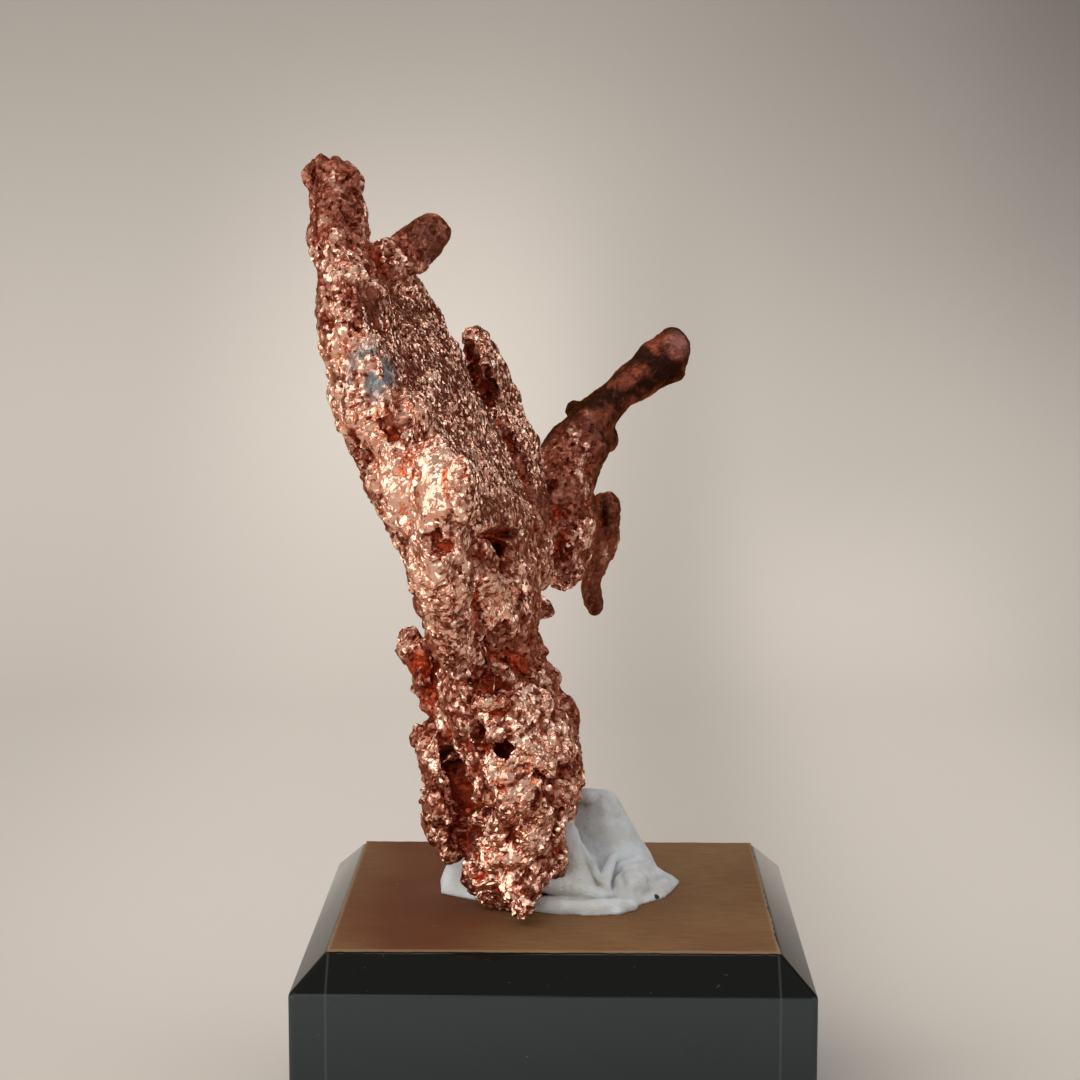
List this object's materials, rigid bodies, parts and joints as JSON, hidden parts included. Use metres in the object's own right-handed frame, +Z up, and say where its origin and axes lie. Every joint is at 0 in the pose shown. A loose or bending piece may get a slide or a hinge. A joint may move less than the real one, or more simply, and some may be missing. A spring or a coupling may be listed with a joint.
{
  "type": "native copper nugget on a display block",
  "caption": "Branching natural copper specimen held upright by putty on a small bevelled acrylic block with a kraft paper top.",
  "frame": {"origin": "centre of the display block's underside", "axes": "+Z up from the underside through the block; +Y from the block's front, where the nugget leans out, to its back; +X to the right, where the branch leans"},
  "size_m": [0.038, 0.0412, 0.0764],
  "materials": {
    "copper": "satin",
    "putty": "matte",
    "paper": "matte",
    "acrylic": "polished"
  },
  "bodies": {
    "root": {"copper_trunk": "copper", "copper_branch": "copper", "putty": "putty", "kraft_paper": "paper", "display_block": "acrylic"}
  },
  "joints": []
}
